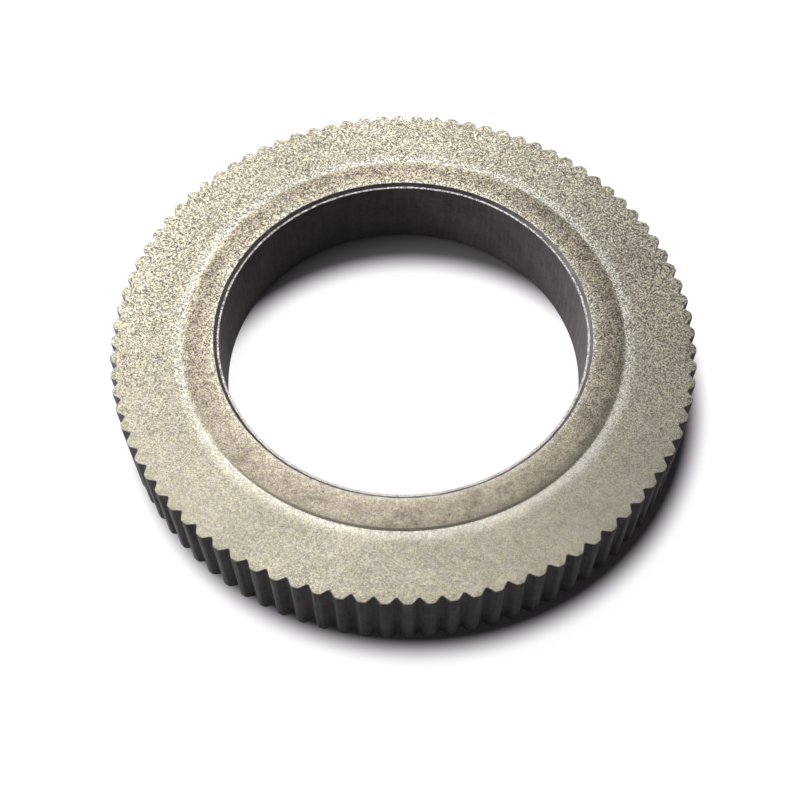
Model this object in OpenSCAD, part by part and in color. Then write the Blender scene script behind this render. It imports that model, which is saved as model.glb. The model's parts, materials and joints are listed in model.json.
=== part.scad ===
// Shaft collar: one pressed and sintered ring. It has a plain bore, a raised land
// round the bore on both faces, and straight V serrations round the rim.
// The axis is Z. The lower land lies on Z = 0 and the upper land on Z = collar_h.

/* [Ring] */
// Diameter over the tips of the serrations
outer_d = 25.4; // [22:0.1:32]
// Height from the lower land to the upper land
collar_h = 3.8; // [2:0.05:12]

/* [Bore] */
// Diameter of the shaft that the collar slides over
shaft_d = 15.875; // [10:0.005:16.5]
// Clearance between the shaft and the bore, on the diameter
bore_clearance = 0.175; // [0.02:0.005:0.4]
// Width of the small flat ledge sunk into each edge of the bore
ledge_w = 0.1; // [0.05:0.01:0.3]
// Depth of that ledge below the land
ledge_depth = 0.15; // [0.05:0.01:0.4]
// Width of the bevel that rises from the ledge to the land
bevel_w = 0.13; // [0.02:0.01:0.25]

/* [Land] */
// Diameter of the raised land, at the foot of its shoulder
land_d = 19.3; // [18:0.1:21]
// Height of the land above the outer flat
land_h = 0.1; // [0.03:0.01:0.3]
// Width of the rounded shoulder between the land and the outer flat
shoulder_w = 0.35; // [0.2:0.01:0.6]

/* [Serrations] */
// Number of teeth round the rim
tooth_count = 90; // [48:1:106]
// Depth of a groove below the tips, along the radius
groove_depth = 0.26; // [0.15:0.01:0.3]
// Angle between the two flanks of a groove
groove_angle = 90; // [60:1:100]
// Radius at the bottom of a groove
root_r = 0.08; // [0.02:0.01:0.15]
// Radius of the two corners of a tooth's tip
tip_r = 0.18; // [0.02:0.01:0.22]
// Width of the bevel that breaks both ends of each tip
end_bevel = 0.05; // [0.03:0.01:0.25]

/* [Hidden] */

outer_r = outer_d / 2;
bore_r = (shaft_d + bore_clearance) / 2;
land_r = land_d / 2;
flat_z = collar_h - land_h;

// The shoulder is an arc that starts level with the land and ends at its foot
shoulder_r = (shoulder_w * shoulder_w + land_h * land_h) / (2 * land_h);
shoulder_sweep = asin(shoulder_w / shoulder_r);
shoulder_steps = 6;

// Angles within one tooth, seen along the axis
flank_angle = groove_angle / 2;
tooth_pitch = 360 / tooth_count;
root_sweep = 90 - flank_angle;
root_steps = 3;
tip_steps = 3;

// A groove is drawn with its centre line along +X. Its flank is tangent to the root
// arc and runs at flank_angle from the centre line, through this point of the line.
flank_x = outer_r - groove_depth + root_r - root_r / sin(flank_angle);

// Where a flank would meet the circle over the tips, as a distance along the flank
tip_reach = sqrt(outer_r * outer_r - pow(flank_x * sin(flank_angle), 2)) - flank_x * cos(flank_angle);
tip_corner = [flank_x + tip_reach * cos(flank_angle), tip_reach * sin(flank_angle)];

// The flat of the tip lies square to the middle of the tooth, half a pitch away
tip_turn = 90 + tooth_pitch / 2 - flank_angle;
tip_setback = tip_r * tan(tip_turn / 2);
tip_centre = tip_corner - tip_setback * [cos(flank_angle), sin(flank_angle)]
           + tip_r * [-sin(flank_angle), cos(flank_angle)];

$fn = 128;

function turned(p, a) = [p[0] * cos(a) - p[1] * sin(a), p[0] * sin(a) + p[1] * cos(a)];

// Half of a groove and the tip corner beside it, from the centre line outwards
function half_groove() = concat(
    [for (i = [0 : root_steps]) let (a = root_sweep * i / root_steps)
        [outer_r - groove_depth + root_r * (1 - cos(a)), root_r * sin(a)]],
    [for (i = [0 : tip_steps]) let (a = flank_angle - 90 + tip_turn * i / tip_steps)
        tip_centre + tip_r * [cos(a), sin(a)]]
);

// The whole groove: the mirrored half first, without the shared centre point
function groove_points() = let (half = half_groove(), last = len(half) - 1) concat(
    [for (i = [last : -1 : 1]) [half[i][0], -half[i][1]]],
    half
);

// Upper half of the ring's section, from the bore outwards. The blank runs past the
// tips, so that the last slope bevels their ends and the outline sets their diameter.
function upper_section() = concat(
    [
        [bore_r, collar_h - ledge_depth],
        [bore_r + ledge_w, collar_h - ledge_depth],
        [bore_r + ledge_w + bevel_w, collar_h]
    ],
    [for (i = [0 : shoulder_steps]) let (a = shoulder_sweep * i / shoulder_steps)
        [land_r - shoulder_w + shoulder_r * sin(a), collar_h - shoulder_r * (1 - cos(a))]],
    [
        [outer_r - end_bevel, flat_z],
        [outer_r + end_bevel, flat_z - 2 * end_bevel]
    ]
);

// Both faces are alike, so the lower half is the upper one turned over
function whole_section() = let (upper = upper_section(), last = len(upper) - 1) concat(
    upper,
    [for (i = [last : -1 : 0]) [upper[i][0], collar_h - upper[i][1]]]
);

module serration_outline() {
    polygon([for (k = [0 : tooth_count - 1]) each
        [for (p = groove_points()) turned(p, (k + 0.5) * tooth_pitch)]]);
}

module ring_blank() {
    rotate_extrude() polygon(whole_section());
}

module serrated_collar() {
    color([0.62, 0.6, 0.53]) intersection() {
        ring_blank();
        linear_extrude(collar_h) serration_outline();
    }
}

serrated_collar();
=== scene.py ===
import json
import math

import bmesh
import bpy
from mathutils import Matrix, Vector, noise


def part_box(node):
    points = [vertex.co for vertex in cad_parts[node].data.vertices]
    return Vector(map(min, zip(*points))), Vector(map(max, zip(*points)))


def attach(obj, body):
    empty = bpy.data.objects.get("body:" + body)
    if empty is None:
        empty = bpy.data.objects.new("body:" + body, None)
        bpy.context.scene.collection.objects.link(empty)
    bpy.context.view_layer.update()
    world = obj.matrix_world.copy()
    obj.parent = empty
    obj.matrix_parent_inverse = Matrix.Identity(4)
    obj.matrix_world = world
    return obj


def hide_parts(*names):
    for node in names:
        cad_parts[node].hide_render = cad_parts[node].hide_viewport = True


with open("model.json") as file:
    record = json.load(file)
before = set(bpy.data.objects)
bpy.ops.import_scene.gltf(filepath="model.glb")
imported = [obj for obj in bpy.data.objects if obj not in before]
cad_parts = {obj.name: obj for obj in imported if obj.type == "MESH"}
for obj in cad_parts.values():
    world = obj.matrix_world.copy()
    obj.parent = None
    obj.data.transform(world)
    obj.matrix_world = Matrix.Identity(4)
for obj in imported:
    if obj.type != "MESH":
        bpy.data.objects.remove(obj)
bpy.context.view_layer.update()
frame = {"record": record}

# One pressed and sintered collar ring, seen lying on a pale table.
# Everything is in metres, and the ring's axis is Z.

_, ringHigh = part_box("serrated_collar")
mounts = {mount["name"]: mount for mount in frame["record"]["mounts"]}
mm = 0.001
slack = 0.01 * mm  # two places closer than this count as the same
white = (1, 1, 1, 1)
up = Vector((0, 0, 1))

ring = {
    "teeth": 90,
    "grooveDepth": 0.26 * mm,
    "grooveAngle": 90,  # degrees between a groove's flanks
    "rootRadius": 0.08 * mm,
    "tipRadius": 0.18 * mm,
    "endRound": 0.045 * mm,  # tumbled edge at the ends of the teeth
    "flatSteps": 4,  # plain rings between the land's foot and the teeth
    "landRadius": 9.65 * mm,
    "landHeight": 0.1 * mm,
    "shoulderWidth": 0.35 * mm,
    "shoulderDrop": 0.042 * mm,  # how far the land falls before the steep foot
    "shoulderRound": 0.12 * mm,
    "dropRound": 0.04 * mm,
    "footWidth": 0.08 * mm,
    "footRound": 0.02 * mm,
    "landEdgeRound": 0.02 * mm,
    "ledgeWidth": 0.1 * mm,
    "ledgeDepth": 0.15 * mm,
    "ledgeRound": 0.015 * mm,
    "bevelWidth": 0.13 * mm,
    "uneven": 0.016 * mm,  # how far the bore's edges stray
    "unevenLength": 0.4 * mm,
    "unevenBand": (0.05 * mm, 0.45 * mm),  # outwards from the bore
    "boreMargin": 0.12 * mm,  # from the ledge down to the next ring of the mesh
    "landMargin": 0.15 * mm,  # from the bevel out to the next one
    "footMargin": 0.15 * mm,
    "tipMargin": 0.3 * mm,
    "toothMargin": 2.2,  # of the end rounding, from the grooves in to the next one
    "cornerSteps": 4,
    "endSteps": 3,
    "sharpAngle": 60,  # degrees, above which a tooth's end is tumbled
    "toothWeld": 0.0001 * mm,
    "ringWeld": 0.0005 * mm,
    "faceSlope": 0.9,  # a pressed face's normal points at least this much up or down
    "shoulderSlope": 0.6,
    "shoulderReach": 0.6 * mm,
    "normalWeight": 100,
}
outerRadius = ringHigh.x
boreRadius = mounts["bore"]["dims"]["r_mm"] * mm
ringHeight = ringHigh.z
flatTop = ringHeight - ring["landHeight"]
pitch = math.tau / ring["teeth"]


def sectionCorners():
    # radius, height and rounding of each corner of the upper half, from the bore outwards
    ledgeTop = ringHeight - ring["ledgeDepth"]
    ledgeEnd = boreRadius + ring["ledgeWidth"]
    landStart = ledgeEnd + ring["bevelWidth"]
    shoulderStart = ring["landRadius"] - ring["shoulderWidth"]
    footStart = ring["landRadius"] - ring["footWidth"]
    footRing = ring["landRadius"] + ring["footMargin"]
    toothRing = outerRadius - ring["grooveDepth"] - ring["toothMargin"] * ring["endRound"]
    flatRings = [
        (footRing + (toothRing - footRing) * step / ring["flatSteps"], flatTop, 0)
        for step in range(ring["flatSteps"] + 1)
    ]
    return [
        (boreRadius, ringHeight / 2, 0),
        (boreRadius, ledgeTop - ring["boreMargin"], 0),
        (boreRadius, ledgeTop, ring["ledgeRound"]),
        (ledgeEnd, ledgeTop, ring["ledgeRound"]),
        (landStart, ringHeight, ring["landEdgeRound"]),
        (landStart + ring["landMargin"], ringHeight, 0),
        (shoulderStart, ringHeight, ring["shoulderRound"]),
        (footStart, ringHeight - ring["shoulderDrop"], ring["dropRound"]),
        (ring["landRadius"], flatTop, ring["footRound"]),
        *flatRings,
        (outerRadius, flatTop, 0),
        (outerRadius, flatTop - ring["tipMargin"], 0),
        (outerRadius, ringHeight / 2, 0),
    ]


def roundOff(bm, parts, rounding, steps, kind="EDGES"):
    bmesh.ops.bevel(bm, geom=parts, offset=rounding, offset_type="OFFSET", segments=steps,
                    profile=0.5, affect=kind, material=-1)


def makeSection(bm):
    # the closed section in the XZ plane, with its corners rounded one by one
    upper = sectionCorners()
    lower = [(radius, ringHeight - height, rounding) for radius, height, rounding in upper[-2:0:-1]]
    corners = upper + lower
    points = [bm.verts.new((radius, 0, height)) for radius, height, _ in corners]
    bm.faces.new(points)
    for point, (_, _, rounding) in zip(points, corners):
        if rounding:
            roundOff(bm, [point], rounding, ring["cornerSteps"], "VERTICES")


def spunBy(bm, edges, angle):
    # turns the last profile on by one angle, and returns the new one's edges
    made = bmesh.ops.spin(bm, geom=edges, cent=(0, 0, 0), axis=up, angle=angle, steps=1)
    return [part for part in made["geom_last"] if isinstance(part, bmesh.types.BMEdge)]


def turnBy(bm, angle):
    bmesh.ops.rotate(bm, verts=bm.verts, cent=(0, 0, 0), matrix=Matrix.Rotation(angle, 3, "Z"))


def angleOf(vert):
    return math.atan2(vert.co.y, vert.co.x)


def riseOf(edge):
    return abs((edge.verts[0].co - edge.verts[1].co).z)


def makeTooth(bm):
    # one pitch of the ring, from the middle of a tip to the middle of the next
    makeSection(bm)
    turnBy(bm, -pitch / 2)
    sectionFace = bm.faces[:]
    edges = bm.edges[:]

    # a flank leaves the groove's centre line and meets the circle over the tips
    flank = math.radians(ring["grooveAngle"] / 2)
    rootX = outerRadius - ring["grooveDepth"] - ring["rootRadius"] * (1 / math.sin(flank) - 1)
    alongFlank = (math.sqrt(outerRadius ** 2 - (rootX * math.sin(flank)) ** 2)
                  - rootX * math.cos(flank))
    halfGroove = math.asin(alongFlank * math.sin(flank) / outerRadius)
    halfTip = pitch / 2 - halfGroove
    for angle in (halfTip, halfGroove, halfGroove, halfTip):
        edges = spunBy(bm, edges, angle)
    bmesh.ops.delete(bm, geom=sectionFace, context="FACES_ONLY")
    bmesh.ops.remove_doubles(bm, verts=bm.verts, dist=ring["toothWeld"])

    # the middle column of the wall goes in to the bottom of the groove
    closeBy = 0.1 * halfGroove
    for vert in bm.verts:
        if vert.co.xy.length > outerRadius - slack and abs(angleOf(vert)) < closeBy:
            vert.co.x = rootX
            vert.co.y = 0

    # rounded corners along the tips and the root, then tumbled edges at both ends
    def upright(angle):
        return [
            edge for edge in bm.edges
            if riseOf(edge) > slack
            and all(vert.co.xy.length > rootX - slack
                    and abs(abs(angleOf(vert)) - angle) < closeBy for vert in edge.verts)
        ]
    tipTurn = math.pi / 2 + pitch / 2 - flank
    for angle, rounding in (
        (0, ring["rootRadius"] / math.tan(flank)),
        (halfGroove, ring["tipRadius"] * math.tan(tipTurn / 2)),
    ):
        roundOff(bm, upright(angle), rounding, ring["cornerSteps"])
    rim = [
        edge for edge in bm.edges
        if len(edge.link_faces) == 2
        and edge.calc_face_angle() > math.radians(ring["sharpAngle"])
        and all(vert.co.xy.length > rootX - slack for vert in edge.verts)
        and riseOf(edge) < slack
    ]
    roundOff(bm, rim, ring["endRound"], ring["endSteps"])


def wearEdges(bm):
    # the edge of the bore is a little uneven, but not the bore itself
    near, far = ring["unevenBand"]
    for vert in bm.verts:
        radius = vert.co.xy.length
        if boreRadius + near < radius < boreRadius + far:
            push = noise.noise(vert.co / ring["unevenLength"]) * ring["uneven"]
            vert.co.xy *= 1 + push / radius


def addPiece(name, bm):
    mesh = bpy.data.meshes.new(name)
    bm.to_mesh(mesh)
    bm.free()
    mesh.shade_smooth()
    piece = bpy.data.objects.new(name, mesh)
    bpy.context.scene.collection.objects.link(piece)
    return piece


def makeRing():
    bm = bmesh.new()
    makeTooth(bm)
    whole = bm.verts[:] + bm.edges[:] + bm.faces[:]
    turnBy(bm, pitch / 2)  # a tip's middle lies on +X, as in the CAD node
    copies = ring["teeth"] - 1
    bmesh.ops.spin(bm, geom=whole, cent=(0, 0, 0), axis=up, angle=pitch * copies, steps=copies,
                   use_duplicate=True)
    bmesh.ops.remove_doubles(bm, verts=bm.verts, dist=ring["ringWeld"])
    bmesh.ops.recalc_face_normals(bm, faces=bm.faces)
    wearEdges(bm)
    return addPiece("collarRing", bm)


collar = makeRing()
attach(collar, "root")
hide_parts("serrated_collar")


def joinUp(tree, sockets, values):
    # each named socket is given a value or joined to another node's socket
    for name, value in values.items():
        if isinstance(value, bpy.types.NodeSocket):
            tree.links.new(value, sockets[name])
        else:
            sockets[name].default_value = value


def addNode(tree, kind, inputs=None, **settings):
    node = tree.nodes.new(kind)
    for name, value in settings.items():
        setattr(node, name, value)
    joinUp(tree, node.inputs, inputs or {})
    return node


def reckon(tree, operation, first, second=0.0, clamp=False):
    return addNode(tree, "ShaderNodeMath", {0: first, 1: second}, operation=operation,
                   use_clamp=clamp).outputs[0]


def times(tree, first, second):
    return reckon(tree, "MULTIPLY", first, second)


def plus(tree, first, second, clamp=False):
    return reckon(tree, "ADD", first, second, clamp)


def minus(tree, first, second):
    return reckon(tree, "SUBTRACT", first, second)


def ramped(tree, value, low, high, toLow=0.0, toHigh=1.0):
    # a soft step in the value, from toLow at low to toHigh at high
    given = {"Value": value, "From Min": low, "From Max": high, "To Min": toLow, "To Max": toHigh}
    return addNode(tree, "ShaderNodeMapRange", given,
                   interpolation_type="SMOOTHSTEP").outputs["Result"]


def mixed(tree, share, first, second, blend="MIX"):
    return addNode(tree, "ShaderNodeMix", {0: share, 6: first, 7: second}, data_type="RGBA",
                   blend_type=blend).outputs[2]


def noiseOf(tree, place, scale, detail=3.0, rough=0.5):
    given = {"Vector": place, "Scale": scale, "Detail": detail, "Roughness": rough}
    return addNode(tree, "ShaderNodeTexNoise", given).outputs["Fac"]


def startGroup(name, inputs, outputs):
    # a shader node group with named inputs and outputs
    tree = bpy.data.node_groups.new(name, "ShaderNodeTree")
    for label, value in inputs.items():
        kind = "NodeSocketVector" if value is None else "NodeSocketFloat"
        socket = tree.interface.new_socket(label, in_out="INPUT", socket_type=kind)
        if value is not None:
            socket.default_value = value
    for label in outputs:
        kind = "NodeSocketVector" if label == "Place" else "NodeSocketFloat"
        tree.interface.new_socket(label, in_out="OUTPUT", socket_type=kind)
    asked = addNode(tree, "NodeGroupInput").outputs
    return tree, asked, addNode(tree, "NodeGroupOutput").inputs


def placeGroup(tree, group, inputs=None):
    return addNode(tree, "ShaderNodeGroup", inputs, node_tree=group).outputs


def makeRingPlace():
    # the place on the ring in millimetres, and its distance from the axis
    tree, _, given = startGroup("ringPlace", {}, ("Place", "Radius"))
    local = addNode(tree, "ShaderNodeTexCoord").outputs["Object"]
    scaled = addNode(tree, "ShaderNodeVectorMath", {0: local, "Scale": 1 / mm},
                     operation="SCALE").outputs[0]
    parts = addNode(tree, "ShaderNodeSeparateXYZ", {0: scaled}).outputs
    level = addNode(tree, "ShaderNodeCombineXYZ", {0: parts[0], 1: parts[1]}).outputs[0]
    radius = addNode(tree, "ShaderNodeVectorMath", {0: level}, operation="LENGTH").outputs["Value"]
    joinUp(tree, given, {"Place": scaled, "Radius": radius})
    return tree


powder = {
    "mottleRoughness": 0.7,
    "mottleShare": 2.0,  # the mottle's swing beside that of the grains' own tones
    "darkest": 0.2,
    "pickRelief": 0.4,
}


def makePowderGrain():
    # pressed powder: one tone to each grain, with a finer mottle over it
    tree, asked, given = startGroup("powderGrain", {"Place": None, "Size": 0.1, "Strength": 0.3},
                                    ("Tone", "Pick", "Lean", "Relief"))
    scale = reckon(tree, "DIVIDE", 1.0, asked["Size"])
    cells = addNode(tree, "ShaderNodeTexVoronoi", {"Vector": asked["Place"], "Scale": scale})
    pick, _, lean = addNode(tree, "ShaderNodeSeparateColor", {0: cells.outputs["Color"]}).outputs
    mottle = noiseOf(tree, asked["Place"], scale, rough=powder["mottleRoughness"])
    swing = plus(tree, minus(tree, pick, 0.5),
                 times(tree, minus(tree, mottle, 0.5), powder["mottleShare"]))
    tone = plus(tree, 1.0, times(tree, swing, asked["Strength"]))
    relief = minus(tree, plus(tree, mottle, times(tree, pick, powder["pickRelief"])),
                   cells.outputs["Distance"])
    joinUp(tree, given, {"Tone": reckon(tree, "MAXIMUM", tone, powder["darkest"]),
                         "Pick": pick, "Lean": lean, "Relief": relief})
    return tree


pore = {
    "raggedScale": 5.0,  # how much finer than the spacing the ragged outline's noise is
    "raggedDetail": 2.0,
    "raggedShare": 0.5,
}


def makePoreSpots():
    # small open pores: one to a cell, but only in the share of cells that Share says
    tree, asked, given = startGroup(
        "poreSpots", {"Place": None, "Spacing": 0.6, "Size": 0.1, "Share": 0.5}, ("Mask",))
    scale = reckon(tree, "DIVIDE", 1.0, asked["Spacing"])
    cells = addNode(tree, "ShaderNodeTexVoronoi", {"Vector": asked["Place"], "Scale": scale})
    pick = addNode(tree, "ShaderNodeSeparateColor", {0: cells.outputs["Color"]}).outputs[1]
    finer = times(tree, scale, pore["raggedScale"])
    ragged = times(tree, noiseOf(tree, asked["Place"], finer, pore["raggedDetail"]),
                   pore["raggedShare"])
    reach = times(tree, plus(tree, cells.outputs["Distance"], ragged), asked["Spacing"])
    edge = plus(tree, asked["Size"], times(tree, asked["Spacing"], pore["raggedShare"] / 2))
    inside = reckon(tree, "DIVIDE", minus(tree, edge, reach), asked["Size"], clamp=True)
    chosen = reckon(tree, "LESS_THAN", pick, asked["Share"])
    joinUp(tree, given, {"Mask": times(tree, inside, chosen)})
    return tree


ringPlace = makeRingPlace()
powderGrain = makePowderGrain()
poreSpots = makePoreSpots()
stainRange = (0.25, 0.75)  # of the noise, from the darkest stain to the lightest


def bumped(tree, relief, depth):
    return addNode(tree, "ShaderNodeBump",
                   {"Height": relief, "Distance": depth, "Strength": 1.0}).outputs[0]


def startMaterial(name):
    material = bpy.data.materials.new(name)
    material.use_nodes = True
    return material, material.node_tree, material.node_tree.nodes["Principled BSDF"].inputs


face = {  # sizes in millimetres
    "flatColour": (0.475, 0.436, 0.348, 1),
    "landColour": (0.56, 0.495, 0.387, 1),
    "dirtColour": (0.20, 0.158, 0.112, 1),
    # near white: the rubbed band's own colour with a painted sheen on top
    "burnishAndSheenColour": (0.93, 0.89, 0.78, 1),
    "ledgeColour": (0.70, 0.65, 0.625, 1),
    "warmTint": (1.01, 1.012, 0.955, 1),
    "coolTint": (0.99, 0.985, 1.035, 1),
    "poreColour": (0.09, 0.075, 0.062, 1),
    "grainSize": 0.041,
    "grainStrength": 3.3,
    "clumpSize": 0.26,
    "clumpStrength": 0.13,
    "clumpRelief": 0.8,
    "openSide": (0.06, 1.0),  # the grain's strength on the closer and on the coarser side
    "openRange": (-10.0, 6.0),  # Y from the one side to the other
    "openShade": 0.88,  # the coarser side is a little darker
    "landEdge": (-0.02, -0.2),  # from the foot, where the land's colours begin and are full
    "dirtScale": 1.7,
    "dirtDetail": 4.0,
    "dirtRoughness": 0.6,
    "dirtRange": (0.46, 0.72),
    "dirtShare": 0.5,
    "grimeShare": 0.25,
    "grimeEnds": (0.2, -0.3),  # from the land's inner edge and from the foot
    "landShade": 0.78,
    "landShadeReach": (0.1, 0.75),
    "burnishAndSheenReach": 0.65,  # from the foot out to where the rubbed band and its painted sheen fade away
    "burnishAndSheenFull": 0.02,
    "burnishAndSheenEdge": 0.03,
    "burnishAndSheenShare": (0.52, 1.0),  # towards -X and towards +X; stronger towards +X as painted sheen, where the lamps leave the flat darker
    "burnishAndSheenRange": (2.0, 8.0),  # X from the one to the other
    "wobbleScale": 1.4,
    "wobbleWidth": 0.22,
    "rubbedShare": 0.3,
    "rubbedReach": (0.24, 0.04),  # from the land's inner edge
    "ledgeReach": (-0.05, -0.1),
    "stainScale": 0.42,
    "stainTones": (0.92, 1.07),
    "poreSpacing": 0.7,
    "poreSize": 0.075,
    "poreShares": (0.22, 0.57),  # of the cells, on the flat and on the land
    "poreDepth": 0.75,
    "poreRelief": 3.0,
    "metallic": 0.6,
    "brightMetallic": -0.25,  # added where the metal is rubbed
    "poreMetallic": -0.5,
    "roughness": 0.52,
    "roughSwing": (0.12, -0.1),
    "polish": 0.12,
    "reliefDepth": 0.0007 * mm,
}


def makePressedFace():
    material, tree, shader = startMaterial("pressedFace")
    at = placeGroup(tree, ringPlace)
    place, radius = at["Place"], at["Radius"]
    foot = ring["landRadius"] / mm
    landInner = (boreRadius + ring["ledgeWidth"] + ring["bevelWidth"]) / mm

    def near(edge, reach, *ends):
        # a soft step across the ring, from edge + reach[0] to edge + reach[1]
        return ramped(tree, radius, edge + reach[0], edge + reach[1], *ends)

    # the powder lies more open towards +Y
    sideways, across, _ = addNode(tree, "ShaderNodeSeparateXYZ", {0: place}).outputs
    openness = ramped(tree, across, *face["openRange"], *face["openSide"])
    grain = placeGroup(tree, powderGrain, {
        "Place": place, "Size": face["grainSize"],
        "Strength": times(tree, openness, face["grainStrength"])})
    clump = placeGroup(tree, powderGrain, {
        "Place": place, "Size": face["clumpSize"], "Strength": face["clumpStrength"]})
    stain = noiseOf(tree, place, face["stainScale"])
    onLand = near(foot, face["landEdge"])

    # the raised land is browner, and dirtier towards its outer edge
    spots = noiseOf(tree, place, face["dirtScale"], face["dirtDetail"], face["dirtRoughness"])
    dirt = times(tree, ramped(tree, spots, *face["dirtRange"]), onLand)
    colour = mixed(tree, onLand, face["flatColour"], face["landColour"])
    inward, outward = face["grimeEnds"]
    grime = times(tree, ramped(tree, radius, landInner + inward, foot + outward,
                               0.0, face["grimeShare"]), openness)
    dirty = plus(tree, times(tree, dirt, face["dirtShare"]), times(tree, grime, onLand), clamp=True)
    colour = mixed(tree, dirty, colour, face["dirtColour"])
    shade = near(landInner, face["landShadeReach"], 1.0, face["landShade"])
    shade = mixed(tree, onLand, white, shade)
    colour = mixed(tree, 1.0, colour, shade, "MULTIPLY")

    # rubbed bright: the band on the flat beside the land's foot, partly wear and partly painted
    # sheen, and the land's inner edge
    drift = noiseOf(tree, place, face["wobbleScale"])
    wobble = times(tree, minus(tree, drift, 0.5), face["wobbleWidth"])
    offFoot = plus(tree, minus(tree, radius, foot), wobble)
    burnishAndSheen = times(tree, ramped(tree, offFoot, face["burnishAndSheenReach"], face["burnishAndSheenFull"]),
                    near(foot, (-face["burnishAndSheenEdge"], face["burnishAndSheenEdge"])))
    inner, innermost = face["rubbedReach"]
    rubbed = ramped(tree, plus(tree, radius, wobble), landInner + inner, landInner + innermost)
    share = ramped(tree, sideways, *face["burnishAndSheenRange"], *face["burnishAndSheenShare"])
    bright = plus(tree, times(tree, burnishAndSheen, share), times(tree, rubbed, face["rubbedShare"]),
                  clamp=True)
    colour = mixed(tree, bright, colour, face["burnishAndSheenColour"])
    colour = mixed(tree, near(landInner, face["ledgeReach"]), colour, face["ledgeColour"])

    # each clump leans to a yellower or a bluer grey
    tint = mixed(tree, clump["Lean"], face["warmTint"], face["coolTint"])
    colour = mixed(tree, 1.0, colour, tint, "MULTIPLY")
    tone = times(tree, grain["Tone"], clump["Tone"])
    tone = times(tree, tone, ramped(tree, openness, *face["openSide"], 1.0, face["openShade"]))
    tone = times(tree, tone, ramped(tree, stain, *stainRange, *face["stainTones"]))
    colour = mixed(tree, 1.0, colour, tone, "MULTIPLY")
    onFlat, within = face["poreShares"]
    pores = placeGroup(tree, poreSpots, {
        "Place": place, "Spacing": face["poreSpacing"], "Size": face["poreSize"],
        "Share": plus(tree, onFlat, times(tree, onLand, within - onFlat))})["Mask"]
    colour = mixed(tree, times(tree, pores, face["poreDepth"]), colour, face["poreColour"])

    roughest, smoothest = (face["roughness"] + swing for swing in face["roughSwing"])
    roughness = minus(tree, ramped(tree, grain["Pick"], 0.0, 1.0, roughest, smoothest),
                      times(tree, bright, face["polish"]))
    metallic = plus(tree, face["metallic"], times(tree, bright, face["brightMetallic"]))
    metallic = plus(tree, metallic, times(tree, pores, face["poreMetallic"]), clamp=True)
    relief = plus(tree, grain["Relief"], times(tree, clump["Relief"], face["clumpRelief"]))
    relief = minus(tree, relief, times(tree, pores, face["poreRelief"]))
    joinUp(tree, shader, {"Base Color": colour, "Roughness": roughness, "Metallic": metallic,
                          "Normal": bumped(tree, relief, face["reliefDepth"])})
    return material


wall = {  # sizes in millimetres
    "rimColour": (0.39, 0.362, 0.366, 1),
    # darker than the rim: painted shade deep in the grooves
    "groovePaintedShadeColour": (0.325, 0.30, 0.308, 1),
    # half the rim's brightness: painted shade on the bore's walls, inside the hole
    "borePaintedShadeColour": (0.195, 0.167, 0.174, 1),
    # near black: painted shade on the bevel, which faces away from the lamps on the far side
    "bevelPaintedShadeColour": (0.12, 0.107, 0.113, 1),
    "grainSize": 0.12,
    "grainStrength": 0.2,
    "lineSize": 0.16,  # between the upright lines that the die leaves
    "lineStretch": 0.06,  # of the noise along Z, so that it becomes upright lines
    "lineRoughness": 0.6,
    "lineRange": (0.2, 0.8),
    "lineTones": (0.9, 1.1),
    "lineRelief": 2.0,
    "stainScale": 0.8,
    "stainTones": (0.85, 1.12),
    "groovePaintedShadeReach": (-0.05, -0.22),  # from the tips, where the painted shade in the grooves begins and where it is full
    "rimDepth": (-1.9, -2.0, -2.1),  # from the tips, where the rim ends and the bore begins
    "bevelReach": (0.07, 0.1),  # from the bore
    "metallic": 0.0,
    "roughness": 0.7,
    "roughSwing": 0.1,
    "specular": 0.1,
    "boreMetallic": 0.07,
    "bevelMetallic": 0.8,
    "bevelRoughness": 0.42,
    "reliefDepth": 0.003 * mm,
}


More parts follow.
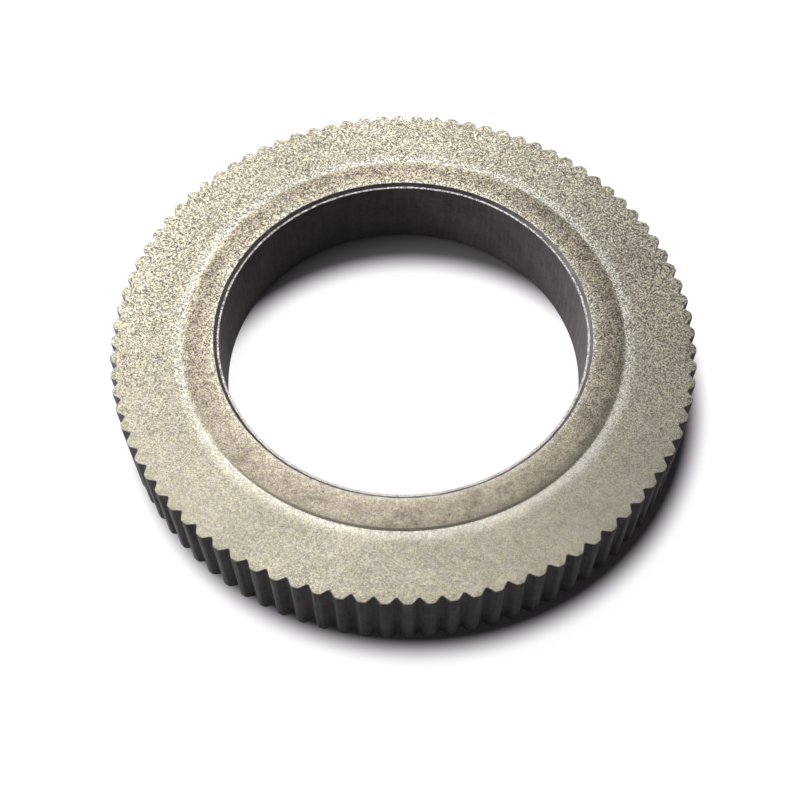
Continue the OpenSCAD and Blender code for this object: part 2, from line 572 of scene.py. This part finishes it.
def makeDieWall():
    material, tree, shader = startMaterial("dieWall")
    at = placeGroup(tree, ringPlace)
    place, radius = at["Place"], at["Radius"]
    tips = outerRadius / mm
    bore = boreRadius / mm

    grain = placeGroup(tree, powderGrain, {
        "Place": place, "Size": wall["grainSize"], "Strength": wall["grainStrength"]})
    drawn = addNode(tree, "ShaderNodeMapping",
                    {"Vector": place, "Scale": (1, 1, wall["lineStretch"])}).outputs[0]
    lines = noiseOf(tree, drawn, 1 / wall["lineSize"], rough=wall["lineRoughness"])
    rimEnd, between, boreStart = (tips + depth for depth in wall["rimDepth"])
    shallow, deep = (tips + depth for depth in wall["groovePaintedShadeReach"])
    # painted shade: darker towards the bottom of each groove on the outer rim
    groovePaintedShade = times(tree, ramped(tree, radius, shallow, deep),
                     ramped(tree, radius, between, rimEnd))
    colour = mixed(tree, groovePaintedShade, wall["rimColour"], wall["groovePaintedShadeColour"])
    # the bore's walls are darker still: painted shade inside the hole
    inBore = ramped(tree, radius, between, boreStart)
    colour = mixed(tree, inBore, colour, wall["borePaintedShadeColour"])
    # then the bevel near black all round: painted shade
    bevelStart, bevelFull = (bore + reach for reach in wall["bevelReach"])
    onBevel = times(tree, inBore, ramped(tree, radius, bevelStart, bevelFull))
    colour = mixed(tree, onBevel, colour, wall["bevelPaintedShadeColour"])

    stain = noiseOf(tree, place, wall["stainScale"])
    tone = times(tree, grain["Tone"], ramped(tree, lines, *wall["lineRange"], *wall["lineTones"]))
    tone = times(tree, tone, ramped(tree, stain, *stainRange, *wall["stainTones"]))
    colour = mixed(tree, 1.0, colour, tone, "MULTIPLY")
    plain = ramped(tree, lines, *wall["lineRange"], wall["roughness"] + wall["roughSwing"],
                   wall["roughness"] - wall["roughSwing"])
    roughness = ramped(tree, onBevel, 0.0, 1.0, plain, wall["bevelRoughness"])
    metallic = ramped(tree, inBore, 0.0, 1.0, wall["metallic"], wall["boreMetallic"])
    metallic = ramped(tree, onBevel, 0.0, 1.0, metallic, wall["bevelMetallic"])
    relief = plus(tree, grain["Relief"], times(tree, lines, wall["lineRelief"]))
    joinUp(tree, shader, {"Base Color": colour, "Roughness": roughness, "Metallic": metallic,
                          "Specular IOR Level": wall["specular"],
                          "Normal": bumped(tree, relief, wall["reliefDepth"])})
    return material


def dressRing():
    # pressed faces look up or down; the die's walls stand, and broken edges are as dark
    collar.data.materials.append(makePressedFace())
    collar.data.materials.append(makeDieWall())
    for polygon in collar.data.polygons:
        offFoot = abs(polygon.center.xy.length - ring["landRadius"])
        steepest = ring["shoulderSlope" if offFoot < ring["shoulderReach"] else "faceSlope"]
        polygon.material_index = 0 if abs(polygon.normal.z) > steepest else 1
    evenNormals = collar.modifiers.new("evenNormals", "WEIGHTED_NORMAL")
    evenNormals.weight = ring["normalWeight"]


dressRing()
print("ring made:", len(collar.data.polygons), "faces")

sweep = {
    "floorRadius": 0.30,
    "wallRadius": 0.42,
    "wallHeight": 0.24,
    "curveSteps": 6,
    "sides": 64,
    "weld": 0.001 * mm,
    "gap": 0.002 * mm,  # under the ring
    "downSlope": -0.5,  # faces that point further down than this are turned over
    "colour": (0.2, 0.19, 0.205, 1),  # to the camera
    "bounceColour": (0.2, 0.2, 0.2, 1),  # to all other rays, low to keep the standing walls dark
    "white": 0.95,  # brightness that the table has of its own, clear of the ring
    "shadeColour": (1, 0.9, 1.02, 1),  # its tint where it fades
    "deepest": 0.014,  # the share of it that is left under the ring's edge
}
# that brightness fades across two circles off the ring's axis; sizes in millimetres
contactShade = {
    "outside": {"radius": 12.87, "shift": 0.62, "azimuth": 328, "softness": 1.28},
    "inside": {"radius": 10.13, "shift": 3.8, "azimuth": 277, "softness": -1.65},
}


def clearOf(tree, place, shade):
    # 0 on the ring's side of the circle and 1 well away from it
    azimuth = math.radians(shade["azimuth"])
    centre = (shade["shift"] * math.cos(azimuth), shade["shift"] * math.sin(azimuth), 0)
    away = addNode(tree, "ShaderNodeVectorMath", {0: place, 1: centre},
                   operation="DISTANCE").outputs["Value"]
    half = shade["softness"] / 2
    return ramped(tree, away, shade["radius"] - half, shade["radius"] + half)


def makeSweep():
    # a round floor that curves up into a low wall
    bm = bmesh.new()
    profile = [(0, 0), (sweep["floorRadius"], 0)]
    rise = sweep["wallRadius"] - sweep["floorRadius"]
    for step in range(1, sweep["curveSteps"] + 1):
        turn = math.radians(90 / sweep["curveSteps"] * step)
        profile.append((sweep["floorRadius"] + rise * math.sin(turn), rise * (1 - math.cos(turn))))
    profile.append((sweep["wallRadius"], sweep["wallHeight"]))
    points = [bm.verts.new((radius, 0, height - sweep["gap"])) for radius, height in profile]
    edges = [bm.edges.new(pair) for pair in zip(points, points[1:])]
    bmesh.ops.spin(bm, geom=edges, cent=(0, 0, 0), axis=up, angle=math.tau,
                   steps=sweep["sides"], use_merge=True)
    bmesh.ops.remove_doubles(bm, verts=bm.verts, dist=sweep["weld"])
    bmesh.ops.recalc_face_normals(bm, faces=bm.faces)
    downward = [part for part in bm.faces if part.normal.z < sweep["downSlope"]]
    bmesh.ops.reverse_faces(bm, faces=downward)
    floor = addPiece("sweep", bm)

    # bright to the camera and in reflections, and dark where the ring touches it
    material, tree, shader = startMaterial("paleTable")
    at = placeGroup(tree, ringPlace)
    within = times(tree, clearOf(tree, at["Place"], contactShade["inside"]),
                   reckon(tree, "LESS_THAN", at["Radius"], ring["landRadius"] / mm))
    clear = reckon(tree, "MAXIMUM", clearOf(tree, at["Place"], contactShade["outside"]), within)
    shine = mixed(tree, 1.0, mixed(tree, clear, sweep["shadeColour"], white),
                  reckon(tree, "MAXIMUM", clear, sweep["deepest"]), "MULTIPLY")
    ray = addNode(tree, "ShaderNodeLightPath").outputs
    mirrored = reckon(tree, "MAXIMUM", ray["Is Glossy Ray"], ray["Is Transmission Ray"])
    seen = times(tree, reckon(tree, "MAXIMUM", ray["Is Camera Ray"], mirrored), sweep["white"])
    colour = mixed(tree, ray["Is Camera Ray"], sweep["bounceColour"], sweep["colour"])
    joinUp(tree, shader, {"Base Color": colour, "Roughness": 1.0, "Specular IOR Level": 0.0,
                          "Emission Color": shine, "Emission Strength": seen})
    floor.data.materials.append(material)


# azimuths in degrees anticlockwise from +X, distances and sizes in metres, powers in watts
lamps = {
    "top": {"azimuth": 120, "elevation": 75, "distance": 0.12, "size": 0.06, "power": 0.0553},
    "window": {"azimuth": 135, "elevation": 25, "distance": 0.05, "size": 0.025, "power": 0.01125},
    "left": {"azimuth": 180, "elevation": 25, "distance": 0.05, "size": 0.025, "power": 0.00722},
    "far": {"azimuth": 90, "elevation": 25, "distance": 0.05, "size": 0.025, "power": 0.00622},
}
surround = 0.015  # brightness of the plain grey world


def towards(azimuth, elevation):
    # the direction at an azimuth from +X and an elevation, both in degrees
    azimuth, elevation = math.radians(azimuth), math.radians(elevation)
    return Vector((math.cos(azimuth) * math.cos(elevation),
                   math.sin(azimuth) * math.cos(elevation), math.sin(elevation)))


def makeLight():
    for name, lamp in lamps.items():
        light = bpy.data.lights.new(name, "AREA")
        light.shape = "DISK"
        light.size = lamp["size"]
        light.energy = lamp["power"]
        back = towards(lamp["azimuth"], lamp["elevation"])
        holder = bpy.data.objects.new(name, light)
        holder.matrix_world = (Matrix.Translation(up * flatTop + back * lamp["distance"])
                               @ back.to_track_quat("Z", "Y").to_matrix().to_4x4())
        bpy.context.scene.collection.objects.link(holder)
    world = bpy.data.worlds.new("surround")
    world.use_nodes = True
    background = world.node_tree.nodes["Background"].inputs
    background["Color"].default_value = (surround, surround, surround, 1)
    bpy.context.scene.world = world
    bpy.context.scene.view_settings.view_transform = "Standard"


makeSweep()
makeLight()
print("floor and lamps placed")

view = {
    "lens": 55.53,
    "distance": 53.85 * mm,
    "azimuth": 1.43,  # degrees anticlockwise from -Y
    "elevation": 55.79,
    "roll": 0.38,
    "shift": (-0.0039, -0.0901),
    "clip": (1 * mm, 2),
}


def placeCamera():
    camera = bpy.data.objects.new("camera", bpy.data.cameras.new("camera"))
    bpy.context.scene.collection.objects.link(camera)
    bpy.context.scene.camera = camera
    camera.data.lens = view["lens"]
    camera.data.shift_x, camera.data.shift_y = view["shift"]
    camera.data.clip_start, camera.data.clip_end = view["clip"]
    back = towards(view["azimuth"] - 90, view["elevation"])
    turned = (-back).to_track_quat("-Z", "Y").to_matrix().to_4x4()
    roll = Matrix.Rotation(math.radians(-view["roll"]), 4, "Z")
    camera.matrix_world = Matrix.Translation(up * flatTop + back * view["distance"]) @ turned @ roll


placeCamera()
print("camera placed")
